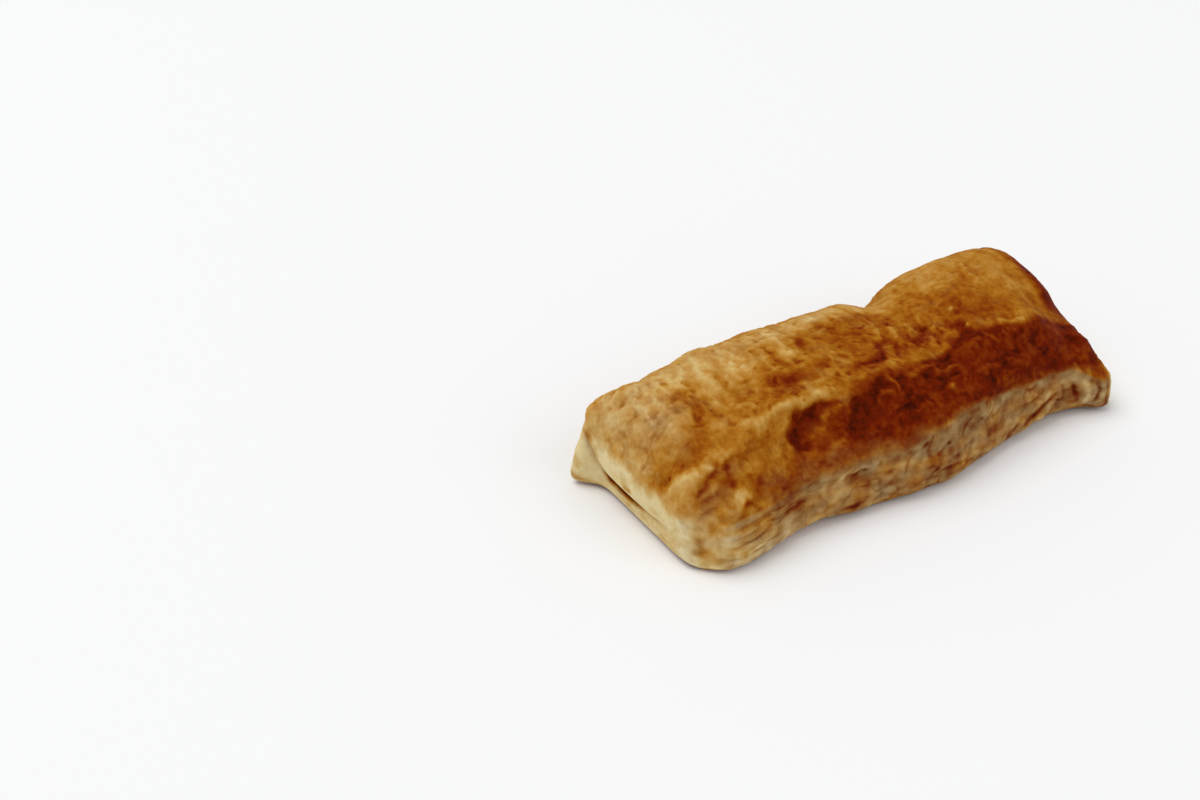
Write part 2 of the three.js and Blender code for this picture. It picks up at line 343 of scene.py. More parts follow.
# %% The blisters at the near end
NEAR_LINES = [  # path, half width, height, change of browning
    ([(-47.5, 10), (-45.2, 5), (-45.0, 0), (-47.5, -6)], 1.5, -0.50, 0.16),
    ([(-60.5, -3), (-58, -7.5), (-53, -9.4), (-48, -8), (-46, -4)], 1.9, -0.45, 0.13),
    ([(-60.5, -7.4), (-58, -10.6), (-54.4, -12.4), (-50, -13.6)], 1.0, 0.55, -0.12),
    ([(-56.0, -15.4), (-52.0, -15.2), (-47.8, -13.4)], 0.45, -0.35, 0.14),
    ([(-57.4, -16.6), (-53.2, -17.2), (-49.0, -16.2)], 0.4, -0.25, 0.08),
    ([(-56.6, -18.8), (-53.4, -19.4), (-50.6, -18.8)], 0.4, -0.25, 0.11),
    ([(-57, -16.7), (-53.4, -16.2), (-50, -16.4)], 0.5, 0.30, -0.10),
    ([(-56.4, -13.2), (-53, -13.9), (-49.6, -14.3)], 0.6, 0.30, -0.10),
    ([(-50.4, -17.6), (-47.4, -15.0), (-44.0, -12.8)], 0.6, -0.30, 0.13),
    ([(-49, -14.6), (-46.4, -12.8), (-43.6, -11.4)], 0.6, 0.25, -0.08),
    ([(-44.4, -16.2), (-41.6, -13.8), (-38.6, -12.4)], 0.6, -0.25, 0.11),
    ([(-48.8, -18.8), (-46.8, -20.4), (-45.0, -21.8)], 2.3, 0.30, -0.15),
    ([(-57.5, 14), (-56.4, 9), (-57, 4)], 0.5, 0.22, -0.07),
    ([(-54, 13), (-53.4, 8), (-54.4, 2)], 0.55, 0.25, -0.08),
    ([(-51.5, 11), (-50.3, 6), (-51.2, 0)], 0.5, 0.20, -0.06),
    ([(-55.8, 7), (-52.8, 5.2), (-50, 6.4)], 0.5, -0.20, 0.08),
    ([(-58.6, 1.5), (-55.2, 0.2), (-52, 1.6)], 0.5, -0.2, 0.08),
    ([(-59.8, 10), (-59.2, 4), (-59.8, -1)], 0.8, 0.15, -0.10),
]
NEAR_SPOTS = [  # place, reach, turn, height, change of browning
    ((-54, 6), (6.5, 9.5), 0, 0.35, -0.09),
    ((-59.0, -5.0), (1.8, 3.6), -30, 0, 0.08),
    ((-50, -6), (3.0, 2.6), 0, 0, 0.09),
    ((-53.4, -16.6), (5.6, 3.8), 10, 0.2, 0.14),
    ((-43, -18.4), (3.2, 1.7), 0, 0, 0.10),
    ((-53.5, 3.4), (0.8, 0.8), 0, -0.2, 0.14),
    ((-56.4, 9.0), (0.9, 0.7), 0, -0.15, 0.10),
    ((-49, 3.2), (0.8, 1.1), 0, -0.2, 0.12),
    ((-57.5, -21.5), (1.4, 1.0), 20, -0.2, 0.14),
    ((-60.5, 16), (3, 5), 0, 0, -0.08),
    ((-50, 19), (10, 3.6), 0, 0, 0.09),
    ((-54, -11.6), (5, 2.4), 0, 0, -0.06),
]
relief_height, tone = draw(u_top, v_top, NEAR_LINES, NEAR_SPOTS)
print(len(NEAR_LINES), "strokes,", len(NEAR_SPOTS), "spots")

# %% [markdown]
# Past the blister the sheet was pulled round the filling when it was folded, which
# left creases across the roll. Further on the top is flatter, and mottled.

# %% Creases across the roll and the middle of the top
MIDDLE_CONTRAST = 1.3  # multiplies each change of browning in the two lists below
MIDDLE_LINES = [
    ([(-33.5, 19), (-36, 12), (-38.4, 5), (-39.4, -1), (-39.6, -5)], 1.5, 0.55, -0.09),
    ([(-38.8, 17), (-41.2, 11), (-44, 6)], 1.0, 0.35, -0.05),
    ([(-28.0, 17), (-29.2, 11), (-29.8, 3)], 1.3, 0.45, -0.09),
    ([(-25.6, 15), (-26.2, 9), (-27.2, 4)], 0.8, 0.30, -0.08),
    ([(-12.4, 17.5), (-15, 12), (-15.8, 7), (-14.6, 2)], 1.8, 0.50, -0.14),
    ([(-6.0, 7), (-7.6, 2), (-9.4, -2)], 1.1, 0, 0.07),
    ([(-41.6, 12), (-42.2, 4), (-40.8, -6)], 1.2, -0.40, 0.08),
    ([(-33.0, 13), (-34.4, 6), (-34.6, -1), (-33.4, -5)], 1.1, -0.45, 0.07),
    ([(-23, 13), (-22.4, 7), (-23.4, 2)], 1.0, -0.25, 0.05),
    ([(-18.6, 11), (-18.8, 6), (-18.0, 2)], 1.0, -0.30, 0.06),
    ([(-36, -1), (-33.5, -3.4), (-31.5, -5.8)], 0.7, 0.25, -0.07),
    ([(-26, -1.6), (-28.4, -4.4), (-31, -6.6)], 0.7, 0.25, -0.06),
    ([(-45, 18), (-47.5, 13), (-48.2, 10)], 0.8, 0.25, -0.05),
    ([(-22, -4.2), (-16, -5.2), (-9, -4.6)], 0.6, 0.20, -0.06),
    ([(9.6, 5.5), (8.0, 1.5), (6.4, -2.5)], 0.7, 0.28, -0.10),
    ([(13.6, 5), (12.0, 0), (10.4, -4.5)], 0.8, 0.30, -0.12),
    ([(7.4, 1.5), (4.6, -4), (1.8, -8)], 1.1, -0.35, 0.15),
    ([(-4.4, -4.0), (-1.0, -5.6), (2.4, -6.0)], 1.2, -0.25, 0.14),
    ([(10.6, -2), (8.6, -5), (6.8, -8.2)], 0.8, -0.25, 0.10),
    ([(22.4, 1.6), (18, -2.2), (12.6, -5.8)], 1.1, -0.45, 0.16),
    ([(29.6, -2.4), (28.4, -5), (27.4, -8.4)], 0.9, -0.25, 0.12),
    ([(20.6, -3.2), (18.8, -5.6), (17.4, -7.6)], 0.9, 0.35, -0.13),
    ([(-2, 10), (2, 6), (5, 5)], 1.0, -0.2, 0.05),
    ([(-6, 2), (-3, -1), (1, -2)], 0.7, 0.22, -0.06),
    ([(12, 16), (13.4, 12.6), (15.2, 9.6)], 1.2, -0.2, -0.05),
]
MIDDLE_SPOTS = [
    ((-9.7, 8.8), (1.2, 2.4), -20, -0.30, 0.17),
    ((-21.8, -2.4), (2.8, 2.2), 30, -0.30, 0.17),
    ((-25.5, -0.6), (2.4, 1.6), 30, -0.15, 0.06),
    ((-30, -4.8), (8, 2.2), 0, 0, 0.08),
    ((0, -6.0), (4.4, 1.6), 8, -0.25, 0.09),
    ((3.6, -1.0), (5, 3.2), 0, 0, 0.07),
    ((-11.4, -1.8), (2.8, 1.5), 0, -0.15, 0.11),
    ((-6.2, -1.6), (1.8, 2.0), 0, 0.10, -0.08),
    ((-6.4, -9.4), (2.6, 1.5), 0, 0, 0.09),
    ((11, 4), (4, 4), 0, 0, 0.05),
    ((18, -4.5), (20, 4.5), 0, 0, 0.09),
    ((-16.5, -6.4), (5.5, 1.9), 0, 0.15, -0.07),
    ((-28, 5.5), (11, 4.5), 0, 0, -0.08),
    ((2, 15.5), (12, 3.2), 0, 0, -0.11),
    ((34, 12.5), (5, 4), 0, 0, -0.07),
    ((4, 7), (9, 4.0), 0, 0, 0.04),
    ((28.2, -8.0), (1.6, 1.8), 30, -0.3, 0.14),
    ((18.2, 4.5), (3.4, 2.6), 0, 0, 0.04),
    ((-44.5, 1), (3, 5), 0, 0, 0.05),
    ((-46.5, 18), (6, 3), 0, 0, -0.03),
]
height, change = draw(u_top, v_top, MIDDLE_LINES, MIDDLE_SPOTS)
relief_height += height
tone += MIDDLE_CONTRAST * change
print(len(MIDDLE_LINES), "strokes,", len(MIDDLE_SPOTS), "spots")

# %% [markdown]
# The top breaks down to the seam side over a ridge. Below it the sheet has sunk into
# hollows where the egg wash gathered, and those baked darkest.

# %% The ridge and the hollows under it
RIDGE_LINES = [
    ([(-40, -10.4), (-34, -9.0), (-29.5, -8.0), (-21.5, -8.3), (-11.5, -9.4)], 1.3, 0.55, -0.18),
    ([(-38.5, -12.6), (-34, -11.6), (-30, -11.2)], 1.4, -0.15, 0.06),
    ([(-13.6, -10.0), (-18, -10.4), (-22.6, -10.8), (-26.6, -12.2)], 1.2, -0.45, 0.08),
    ([(-24.6, -11.4), (-28.0, -13.4), (-27.4, -15.6), (-23.4, -16.6)], 1.4, -0.45, 0.08),
    ([(-20.4, -12.4), (-17.0, -12.4), (-13.0, -13.0)], 0.7, 0.35, -0.14),
    ([(-24.6, -14.4), (-21.6, -13.6), (-19.0, -14.6)], 0.5, 0.20, -0.10),
    ([(-14.2, -11.4), (-14.6, -14), (-16.4, -17.4)], 1.3, 0.45, -0.03),
    ([(-13, -13.0), (-8, -12.2), (-3.5, -12.8)], 0.8, -0.40, 0.05),
    ([(-5.2, -14.7), (-2.4, -13.5), (0.6, -14.4)], 0.5, 0.28, -0.12),
    ([(4.2, -13.0), (9, -12.1), (15, -12.7)], 0.6, 0.35, -0.15),
    ([(10.8, -11.4), (15, -10.5), (19.8, -11.2)], 0.5, -0.40, 0.06),
    ([(12, -15.8), (16, -15.0), (20.8, -15.6)], 0.5, -0.35, 0.06),
    ([(12.6, -13.8), (17, -13.2), (21.4, -14.0)], 0.5, 0.35, -0.12),
    ([(23.6, -11.2), (27.4, -10.2), (30.2, -11.2)], 0.5, 0.32, -0.10),
    ([(30.6, -9.8), (32.4, -11.2), (33.4, -13.2)], 0.5, 0.30, -0.09),
    ([(-2.4, -17.4), (3, -18.4), (8.5, -17.6)], 0.7, -0.32, 0.05),
    ([(1.5, -9.5), (0.6, -12), (1.8, -15)], 0.6, 0.35, -0.12),
    ([(22, -17.4), (27, -16.6), (31, -17.2)], 0.7, 0.25, -0.08),
]
RIDGE_SPOTS = [
    ((-8.5, -16.0), (4.8, 2.8), 8, -0.55, 0.06),
    ((-23.0, -13.4), (5.4, 3.2), 4, -1.0, 0.02),
    ((-20.6, -13.9), (3.0, 1.3), 8, 0.2, -0.05),
    ((-13.4, -14.6), (3.2, 3.0), 0, 0, 0.09),
    ((27.8, -7.8), (1.0, 0.9), 0, -0.40, 0.16),
    # painted highlights: these three small blisters are made pale where the egg wash glints
    ((29.5, 0.9), (0.7, 0.6), 0, 0.45, -0.26),
    ((29.4, -5.3), (0.7, 0.6), 0, 0.45, -0.28),
    ((15.2, -17.2), (0.9, 0.5), 20, 0.40, -0.22),
    ((19.5, -8.6), (1.5, 1.0), 0, 0.30, -0.06),
    ((7, -15.2), (3.0, 1.2), 10, -0.30, 0.03),
    ((-34, -16), (6.5, 3.4), 0, 0, 0.10),
    ((-42.5, -13.2), (6.5, 3.0), 12, 0, 0.12),
    ((-48, -17.6), (3.2, 1.6), 0, 0, 0.08),
    ((-57.5, -15), (2, 3), 0, 0, -0.07),
    ((29.5, -14.6), (3.0, 2.2), 0, 0.15, -0.07),
]
height, change = draw(u_top, v_top, RIDGE_LINES, RIDGE_SPOTS)
relief_height += height
tone += change
print(len(RIDGE_LINES), "strokes,", len(RIDGE_SPOTS), "spots")

# %% [markdown]
# The far half swelled into one smooth crown. It has few creases, so it shows the
# evenest brown, with its far rim caught by the heat. Where the crown turns down to
# its end the skin is softened first, so that no facet of the solid shows there.


# %% Soften a part of the skin
LEAST_WEIGHT = 0.01  # points below it are left as they are


def soften(piece, weights, rounds):
    """Smooths the skin by its weights, from 0 for not at all to 1 for fully."""
    pick_only(piece)
    group = piece.vertex_groups.new(name="soften")
    for index in np.flatnonzero(weights > LEAST_WEIGHT):
        group.add([int(index)], float(weights[index]), "REPLACE")
    smooth = piece.modifiers.new("smooth", "SMOOTH")
    smooth.factor = 0.5
    smooth.iterations = rounds
    smooth.vertex_group = group.name
    bpy.ops.object.modifier_apply(modifier=smooth.name)
    piece.vertex_groups.clear()


crest = bump(x, 51, 5) * ease(y, -14, -8) * top
soften(roll, 0.9 * crest, 60)
print("softened", int((crest > 0.5).sum()), "points of the far crest")

# %% The far crown
FAR_LINES = [
    ([(36.8, -7.2), (40.5, -9.2), (44.4, -10.3)], 0.55, 0.40, -0.14),
    ([(30.5, 8), (32.6, 3), (31.4, -3)], 1.3, -0.22, 0.06),
    ([(36, 9), (38, 4), (37.4, -2)], 1.1, 0.2, -0.03),
    ([(44.6, 15), (42.6, 10), (43, 5)], 0.8, 0.22, -0.06),
    ([(54.4, 10), (53.4, 4), (54.2, -3)], 1.0, 0, 0.05),
    ([(24.4, 4), (23.6, 0), (25.6, -3.4)], 0.6, -0.25, 0.08),
    ([(22.4, 5), (21.6, 1), (22.8, -3)], 0.5, 0.22, -0.06),
    ([(59.4, 14), (60.6, 4), (60.4, -6)], 1.6, -0.15, 0.14),
    ([(26, 18), (33, 15.6), (41, 16.6)], 1.0, 0.2, -0.04),
]
FAR_SPOTS = [
    ((34.6, -3.6), (3.6, 2.6), 0, -0.15, 0.08),
    ((40.5, 3), (2.8, 4), 0, 0, 0.10),
    ((58.6, -1.2), (1.6, 1.6), 0, 0, 0.14),
    ((20.5, 14.5), (6, 4), 0, 0, -0.05),
    ((46, 6), (8, 7), 0, 0, -0.04),
    ((31.5, 4), (3.2, 5), 0, 0, 0.05),
    ((41.5, -4.5), (2.5, 2.5), 0, 0, -0.06),
    ((33, -4), (4, 3), 0, 0, 0.05),
    ((56, -4), (3, 4), 0, 0, 0.06),
    ((58, -14), (4, 5), 0, 0, 0.02),
    ((51.4, -10.4), (1.8, 1.6), 0, 0, -0.12),
]
height, change = draw(u_top, v_top, FAR_LINES, FAR_SPOTS)
relief_height += height
tone += change
raise_skin(roll, relief_height * on_top * (1 - under))
print("named relief", relief_height.min().round(2), "to", relief_height.max().round(2), "mm")

# %% [markdown]
# Between the named features the crust is uneven at several sizes: lumps as wide as a
# fingertip, wrinkles, small blisters, and flakes, where the outermost sheet has
# cracked and the edge of the one below shows as a step. The wrinkles run across the
# roll on the near half, along it in the dark band, and any way on the blisters. A
# Displace modifier with a noise could make one such pattern, but it can't turn from
# zone to zone, so every pattern is worked out point by point and masked.

# %% Patterns of the crust
CREST_SHARPNESS = 3.2  # the higher, the narrower the crests
CELL_SHIFT = np.array((5.3, 11.9, 2.7))  # moves each seed to other cells
CELL_RIM = 0.45  # width of a cell's rim, as a share of the cell
STEP_START, STEP_END = 0.34, 0.66  # where each step rises, as shares of its width


def wrinkled(size, seed, octaves=2):
    """Sharp crests with round troughs between them, about -1 to 1."""
    return 1 - CREST_SHARPNESS * np.abs(uneven(size, seed, octaves))


def cells(size, seed, bend=0.0):
    """0 in the middle of each cell of a random pattern, 1 at its rim."""
    bent = home + bend * np.stack([uneven(4.0, seed + k) for k in range(60, 63)], 1)
    spread = bent / np.array(size) + seed * CELL_SHIFT
    nearest = np.array([noise.voronoi(p)[0][:2] for p in spread])
    return fade(nearest[:, 1] - nearest[:, 0], 0, CELL_RIM)


def stepped(values, count):
    """What has to be added to the values to turn them into steps with soft edges."""
    scaled = values * count
    whole = np.floor(scaled)
    return whole + ease(scaled - whole, STEP_START, STEP_END) - scaled


crust = np.maximum(top, 0.6 * np.maximum(back, far_end)) * (1 - under)
crust = np.maximum(crust, on_top * ease(above_seam, -0.5, 1.5))
print("crust on", int(crust.sum()), "points")

# %% Wrinkles, blisters and flakes
on_blister = spot(x, y, (-53, 5), (9, 11))
on_crown = ease(x, 26, 36) * ease(y, -11, -7)
in_band = ease(x, -34, -28) * fade(y, -11, -7)
crossways = fade(x, -4, 14) * (1 - on_blister) * (1 - in_band)

lumps = 0.32 * uneven((6.5, 8.0, 8.0), 1) + 0.16 * uneven((3.2, 3.6, 3.6), 2)
across_wrinkles = 0.16 * wrinkled((2.4, 6.5, 5.0), 3, 1) * crossways
band_wrinkles = 0.12 * wrinkled((6.0, 2.4, 2.6), 4, 1) * in_band
small_wrinkles = 0.07 * wrinkled(2.6, 5) * (1 - 0.45 * on_crown)
blisters = -0.12 * cells((2.9, 3.4, 3.4), 6) * (0.5 + 0.3 * in_band + 0.3 * on_blister)
flakes = 0.14 * stepped(uneven(6.5, 7, octaves=2), 3.0) * (1 - 0.4 * on_crown)
crust_relief = lumps + across_wrinkles + band_wrinkles + small_wrinkles + blisters + flakes
print("wrinkles and flakes up to", crust_relief.max().round(2), "mm")

# %% Threads and pores
patchy = ease(uneven(8.0, 53), -0.2, 0.4) * (1 - 0.5 * on_crown) * (1 - 0.5 * in_band)
threads = ease(wrinkled((3.4, 4.2, 4.2), 51, 1), 0.3, 0.95) * patchy
pores = ease(uneven(1.9, 52), 0.25, 0.6) * (1 - 0.6 * on_crown) * (1 - 0.5 * in_band)
crust_relief += 0.12 * threads - 0.12 * pores
tone += 0.12 * pores - 0.07 * threads
calm = 0.7 * bump(x, 51.5, 3.2) * ease(x, 44, 48)  # the sheet is taut over the crest
crust_relief *= 1 - calm
raise_skin(roll, crust_relief * crust)
print("crust", crust_relief.min().round(2), "to", crust_relief.max().round(2), "mm")

# %% [markdown]
# ## The seam side
#
# Puff pastry is dozens of sheets with fat between them. On the seam side their cut
# edges show as fine lines that run along the roll and fan out at the near corner.
# Each sheet could be a thin piece of its own, but baked sheets hold together, so
# grooves in one skin look truer. Their pattern depends on height alone, bent by a
# slow unevenness. Further along the sheets have baked together into soft pads, with
# small pits where steam came out.

# %% Layers
SHEET_PITCH = 1.9  # one baked sheet and the gap above it
bent = z + 1.6 * uneven((16, 12, 9), 11) + 0.8 * uneven(5.0, 12)
phase = np.abs(np.mod(bent / SHEET_PITCH, 1) - 0.5) * 2
groove = ease(phase, 0.5, 1.0)
by_corner = ease(x, -56, -50) * fade(x, -40, -32) * fade(y, -18, -10)
soften(roll, 0.9 * fade(x, -44, -36) * fade(y, -16, -8) * (1 - under), 14)
layer_depth = 0.06 + 0.16 * by_corner
layer_depth *= 0.1 + 0.9 * ease(uneven((8, 8, 3), 13), -0.1, 0.3)
below_edge = fade(above_seam, -1.5, 0.5)
cut_side = np.maximum(seam, 0.45 * np.maximum(near_end, far_end)) * below_edge
layers = -groove * layer_depth
raise_skin(roll, layers * cut_side * (1 - under))
print("layers down to", (layers * cut_side).min().round(2), "mm")

# %% Lines and pits of the seam side
SEAM_LINES = [  # on the seam side the places are along the roll and up
    ([(-50, 11.0), (-45, 10.6), (-39, 11.2)], 0.45, -0.28, 0.12),
    ([(-51, 8.0), (-46, 7.6), (-39, 8.8)], 0.45, -0.25, 0.10),
    ([(-51, 4.4), (-45, 4.6), (-38, 6.2)], 0.45, -0.20, 0.07),
    ([(-41, 7.8), (-35, 8.8), (-29, 9.8)], 0.5, -0.35, 0.16),
    ([(-40, 10.4), (-34, 10.8), (-29, 11.6)], 0.45, 0.25, -0.10),
    ([(-17.6, 11.0), (-15, 11.9), (-12.4, 11.8)], 0.4, -0.35, 0.11),
    ([(-17.5, 12.0), (-14.5, 12.5), (-11.8, 12.6)], 0.4, 0.22, -0.08),
    ([(-24, 10.0), (-20, 11.8), (-16, 13.4)], 0.5, 0.25, -0.10),
    ([(-4.5, 7.5), (-2.2, 11.0), (0.8, 13.4)], 0.45, -0.28, 0.12),
    ([(3.4, 9.0), (3.0, 12.0), (5.0, 15.0)], 0.45, -0.25, 0.10),
    ([(13, 11), (15, 13.5), (18.5, 14.6)], 0.5, -0.25, 0.10),
    ([(34, 3.2), (41, 5.4), (49.5, 8.8)], 0.7, -0.40, 0.20),
    ([(33, 4.8), (40, 7.2), (47, 10.4)], 0.6, 0.28, -0.10),
    ([(49.8, 5), (50.4, 8), (49.6, 11)], 0.5, -0.25, 0.12),
    ([(55.6, 2.4), (56.1, 6.5), (55.2, 11.5)], 1.1, 0.25, -0.33),
    ([(52.8, 3), (53.2, 7), (52.2, 11)], 0.7, -0.30, 0.16),
    ([(58.6, 3.2), (59.2, 7), (58.4, 10.6)], 0.6, -0.40, 0.25),
    ([(61.0, 3), (61.6, 6.5), (61.0, 9.6)], 0.5, -0.25, 0.16),
]
SEAM_SPOTS = [
    ((-17.5, 3.7), (2.2, 0.6), 4, -0.2, 0.42),
    ((-21, 10.2), (1.6, 1.1), 0, 0.25, -0.12),
    ((-7.6, 9.6), (0.8, 0.7), 0, -0.35, 0.20),
    ((-9.5, 12.2), (0.6, 0.5), 0, -0.3, 0.14),
    ((-1.8, 12.8), (0.9, 0.7), 0, -0.3, 0.20),
    ((2.4, 13.4), (0.7, 0.6), 0, -0.35, 0.24),
    ((6.2, 9.0), (0.9, 0.8), 0, -0.35, 0.20),
    ((9.0, 11.8), (0.6, 0.5), 0, -0.35, 0.24),
    ((11.4, 7.6), (0.7, 0.6), 0, -0.3, 0.18),
    ((14.6, 8.8), (0.6, 0.8), 0, -0.3, 0.16),
    ((4.8, 6.2), (1.0, 0.6), 0, -0.25, 0.14),
    ((20, 10), (1.6, 1.6), 0, 0.25, -0.10),
    ((53.0, 8.0), (0.8, 1.6), 0, -0.2, 0.10),
    ((22, 6.6), (9, 2.6), 0, 0, 0.06),
    ((-25, 6.5), (6, 3.4), 0, 0, 0.12),
    ((11, 13.6), (6, 2.2), 0, 0, 0.10),
    ((42, 3.4), (4, 1.4), 12, 0.2, -0.14),
    ((-33, 3.5), (5, 1.5), 6, 0.15, -0.06),
]
seam_height, seam_tone = draw(x + 0.5 * ragged[0], z_side, SEAM_LINES, SEAM_SPOTS)
print(len(SEAM_LINES), "strokes,", len(SEAM_SPOTS), "spots")

# %% Pads and folds between them
pads = 0.46 * uneven((6.5, 6.5, 4.6), 14) + 0.15 * uneven((2.4, 2.4, 1.9), 15)
pad_rims = ease(cells((5.6, 5.6, 3.6), 16, bend=2.2), 0.1, 1.0) * ease(x, -8, 2)
creases = ease(wrinkled((7, 7, 3.4), 18), 0.4, 0.95)
folds = (0.8 * pad_rims + 0.7 * creases) * ease(uneven(7, 17), -0.2, 0.4)
folds *= ease(x, -38, -28)
seam_tone += 0.12 * folds
seam_relief = (seam_height + pads - 0.24 * folds) * on_seam * below_edge * (1 - under)
raise_skin(roll, seam_relief)
print("seam side", seam_relief.min().round(2), "to", seam_relief.max().round(2), "mm")

# %% [markdown]
# ## How brown it baked
#
# The colour of pastry is one story: how long each bit of dough met the heat. So each
# point gets one number, from 0 for raw-looking cream to 1 for burnt, and the material
# turns that number into a colour. It could be painted on by hand, but rules keep it
# true to the relief: the top browns, the hollows by the seam brown most, sheltered
# sides stay pale and the far rim catches. The same number also carries painted shade
# in the near end's slit and by its ear, and a few painted highlights on the top.

# %% How brown each zone is, from 0 for cream to 1 for burnt
CROWN_BROWN = 0.585
BAND_BROWN = 0.872
HOLLOW_BROWN = 0.81
SHOULDER_BROWN = 0.65
SEAM_BROWN = 0.46
BACK_BROWN = 0.34
END_BROWN = 0.04
UNDER_BROWN = 0.64
# painted shade inside the slit at the near end, not a browning
SLIT_SHADE = 0.87
BROWNEST = 0.94


def blend(old, new, share):
    """The old values where the share is 0, the new ones where it is 1."""
    return old + (new - old) * share


print("half-way from crown to band", round(blend(CROWN_BROWN, BAND_BROWN, 0.5), 3))

# %% Where the dark band and its deepest hollow are
HOLLOW_AT = (-21.0, -13.5)  # along and across the roll
HOLLOW_REACH = (8.4, 4.0)

band_top = along_roll(BAND_EDGE)
band_blur = 2.4 - 1.4 * ease(x, 31, 38)
in_dark = fade((v_top - band_top) / band_blur, -0.8, 0.8)
in_dark *= ease(u_top - 0.8 * (v_top + 17), -17, -13.5)  # its slanting near end
strip = 3.0 - 1.6 * ease(x, -14, 0) - 0.9 * ease(x, 0, 30)  # golden crust under it
in_dark *= ease(above_seam, 0.3 * strip, strip + 0.8)
along_hollow = (u_top - HOLLOW_AT[0]) / HOLLOW_REACH[0]
across_hollow = (v_top - HOLLOW_AT[1]) / HOLLOW_REACH[1]
in_hollow = fade(along_hollow**2 + across_hollow**2, 0.65, 1.1)
print("dark band", int(in_dark.sum()), "points, hollow", int(in_hollow.sum()))

# %% Browning of the top
in_middle = ease(x, -34, -24) * fade(x, 26, 34) * (1 - in_dark)
top_bake_and_highlights = CROWN_BROWN + 0.07 * uneven((9, 9, 7), 21) + 0.08 * uneven(3.6, 29)
top_bake_and_highlights += in_middle * (0.08 * uneven((2.6, 5.0, 4.0), 54) + 0.06 * uneven(2.0, 55))
top_bake_and_highlights -= 0.11 * fade(x, -36, -26)
fading_from = 8 - 6 * bump(x, -27, 13)
top_bake_and_highlights -= 0.155 * ease(v_top - fading_from, 0, 9) * (1 - 0.55 * ease(x, 14, 22))
top_bake_and_highlights -= 0.035 * ease(x, 34, 42) * ease(v_top, -7, 5)
top_bake_and_highlights += 0.17 * ease(x, 56, 60.5) * ease(v_top, -12, -4)
top_bake_and_highlights = blend(top_bake_and_highlights, HOLLOW_BROWN, in_hollow)
shoulder = fade(y, -19.5, -16.5) * ease(x, -46, -38) * (1 - in_hollow)
top_bake_and_highlights = blend(top_bake_and_highlights, SHOULDER_BROWN + 0.08 * ease(x, -34, -24), shoulder)
dark = BAND_BROWN + 0.09 * uneven((6, 3.4, 3.4), 22) + 0.06 * uneven((2.4, 1.8, 1.8), 30)
top_bake_and_highlights = blend(top_bake_and_highlights, dark, in_dark) + tone
print("top browning", top_bake_and_highlights.min().round(2), "to", top_bake_and_highlights.max().round(2))

# %% Browning of the seam side
edge_blur = 0.6 + 1.3 * bump(x, -24, 14)
is_crust = ease(above_seam / edge_blur, -1.0, 1.0)
pale = SEAM_BROWN + 0.20 * uneven((7, 7, 4.5), 23) + 0.18 * uneven((2.4, 2.4, 1.7), 24)
pale -= 0.14 * fade(z, 3, 8) * fade(x, -30, -20)
pale -= 0.12 * fade(x, -44, -36)
pale -= 0.08 * ease(z, 10, 14) * ease(x, 18, 26)
pale += 0.20 * ease(z, 7.5, 10.5) * bump(x, -43, 8)
pale += 0.05 * ease(x, -30, -22) + 0.11 * ease(above_seam, -4, 0)
pale += seam_tone + 0.10 * groove * by_corner
bake = blend(top_bake_and_highlights, blend(pale, top_bake_and_highlights, is_crust), fade(y, -18, -13))
print("seam side", pale.min().round(2), "to", pale.max().round(2))

# %% Browning of the back, the ends and the underside
folded_back = ease(y, 17, 23) * fade(z, 8, 20)
bake = blend(bake, BACK_BROWN + 0.08 * uneven((9, 9, 6), 25), folded_back)
edge_of_end = 12.4 - 2.6 * ease(x, 0, 50) + 1.4 * uneven(5, 27, octaves=2)
end_face = np.maximum(fade(x, -60.5, -57.5), ease(x, 61.5, 64))
end_face *= fade(z - edge_of_end, -1.5, 3)
cream = END_BROWN + 0.12 * uneven(3.5, 26) + 0.07 * uneven(1.6, 35)
bake = blend(bake, cream, end_face)
bake = blend(bake, UNDER_BROWN + 0.12 * uneven(9, 28, octaves=3), under)
print("browning", bake.min().round(2), "to", bake.max().round(2))

# %% [markdown]
# At the near end the top sheet's lip lies on the bottom sheet, and the slit between
# them is painted dark as shade. Behind the slit the bottom sheet folds up into an ear
# at the back corner; painted shade darkens the valley where it leaves the lip and the foot of
# the end.

# %% The slit and the ear of the near end
SLIT_HEIGHT = 5.5  # of its middle line, above the underside
SLIT_FROM, SLIT_TO = -2.0, 15.0  # across the roll
in_slit_shade = ease(x, -60.1, -59.0) * fade(np.abs(z - SLIT_HEIGHT), 1.6, 2.4)
in_slit_shade *= ease(y, SLIT_FROM, SLIT_FROM + 5) * fade(y, SLIT_TO - 1, SLIT_TO + 1)
in_slit_shade *= fade(x, -55, -50)
# the slit is painted dark as shade, lightest at its seam-side end
bake = blend(bake, SLIT_SHADE - 0.30 * fade(y, -1, 8), in_slit_shade)
# painted shade: darker lines in the ear's valley and along the foot of the near end
END_SHADE_LINES = [  # on the near end the places are across the roll and up
    ([(21, 16), (18.6, 11.5), (15, 7.0)], 1.2, 0, 0.34),
    ([(16.5, 8), (14.0, 5.6), (11, 4.2)], 0.9, 0, 0.30),
    ([(23.4, 13), (22, 8.5), (19.4, 4.6)], 0.7, 0, 0.14),
    ([(24, 4), (20, 2.2), (14, 1.2)], 0.9, 0, 0.24),
    ([(1.5, 9.4), (3.2, 8.8), (5.0, 8.8)], 0.6, 0, 0.40),
    ([(11, 3.0), (4, 2.6), (-4, 3.6)], 0.5, 0, 0.12),
    ([(-6, 2.0), (-12, 3.0), (-17, 2.4)], 0.5, 0, 0.12),
    ([(-19, 4), (-20.4, 7), (-19.4, 10)], 0.9, 0, 0.20),
]
end_shade = draw(y + 0.5 * ragged[0], z_side, END_SHADE_LINES, [])[1]  # their heights are all 0
# adds the painted shade of the near end to the browning number
bake += end_shade * fade(x, -53, -49) * (1 - under)
print("slit", int(in_slit_shade.sum()), "points")
